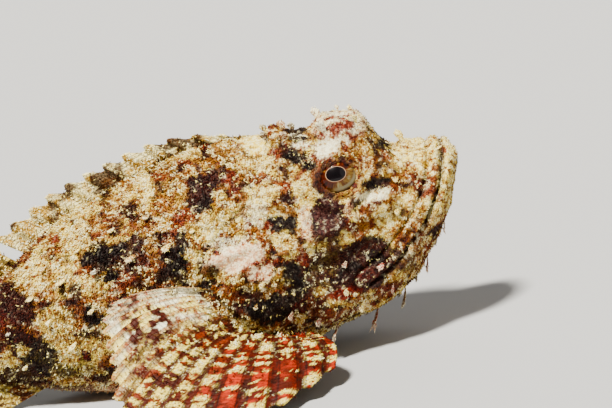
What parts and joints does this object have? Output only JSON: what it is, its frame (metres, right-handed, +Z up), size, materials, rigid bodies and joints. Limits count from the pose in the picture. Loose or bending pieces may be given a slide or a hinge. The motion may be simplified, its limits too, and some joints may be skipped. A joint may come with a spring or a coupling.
{
  "type": "scorpionfish",
  "caption": "Life-size humpbacked reef scorpionfish lying at rest on its belly, with fanned breast fins, raised eyes, head spines, skin flaps and a steep upturned mouth.",
  "frame": {"origin": "the middle of the belly's flat on the floor, 95 mm behind the snout tip", "axes": "+X towards the snout, +Y to the fish's left, +Z up from the floor"},
  "size_m": [0.2311, 0.146, 0.0757],
  "materials": {
    "head_skin": "mottled cream skin",
    "upper_jaw_skin": "mottled cream skin",
    "lower_jaw_skin": "mottled cream skin",
    "gill_cover_left_skin": "mottled cream skin",
    "gill_cover_right_skin": "mottled cream skin",
    "trunk_skin": "mottled cream and rust skin",
    "tail_stalk_skin": "mottled cream and rust skin",
    "eye_left_surface": "wet, clear surface over a dark pupil",
    "eye_right_surface": "wet, clear surface over a dark pupil",
    "pectoral_fin_left_skin": "barred rust and cream fin skin",
    "pectoral_fin_right_skin": "barred rust and cream fin skin",
    "pelvic_fin_left_skin": "barred cream fin skin",
    "pelvic_fin_right_skin": "barred cream fin skin",
    "dorsal_fin_spiny_skin": "barred cream fin skin",
    "dorsal_fin_soft_skin": "barred cream fin skin",
    "anal_fin_skin": "barred cream fin skin",
    "caudal_fin_skin": "barred cream fin skin"
  },
  "bodies": {
    "root": {"head": "head_skin", "upper_jaw": "upper_jaw_skin", "lower_jaw": "lower_jaw_skin", "gill_cover_left": "gill_cover_left_skin", "gill_cover_right": "gill_cover_right_skin", "trunk": "trunk_skin", "tail_stalk": "tail_stalk_skin", "eye_left": "eye_left_surface", "eye_right": "eye_right_surface", "pectoral_fin_left": "pectoral_fin_left_skin", "pectoral_fin_right": "pectoral_fin_right_skin", "pelvic_fin_left": "pelvic_fin_left_skin", "pelvic_fin_right": "pelvic_fin_right_skin", "dorsal_fin_spiny": "dorsal_fin_spiny_skin", "dorsal_fin_soft": "dorsal_fin_soft_skin", "anal_fin": "anal_fin_skin", "caudal_fin": "caudal_fin_skin"}
  },
  "joints": []
}
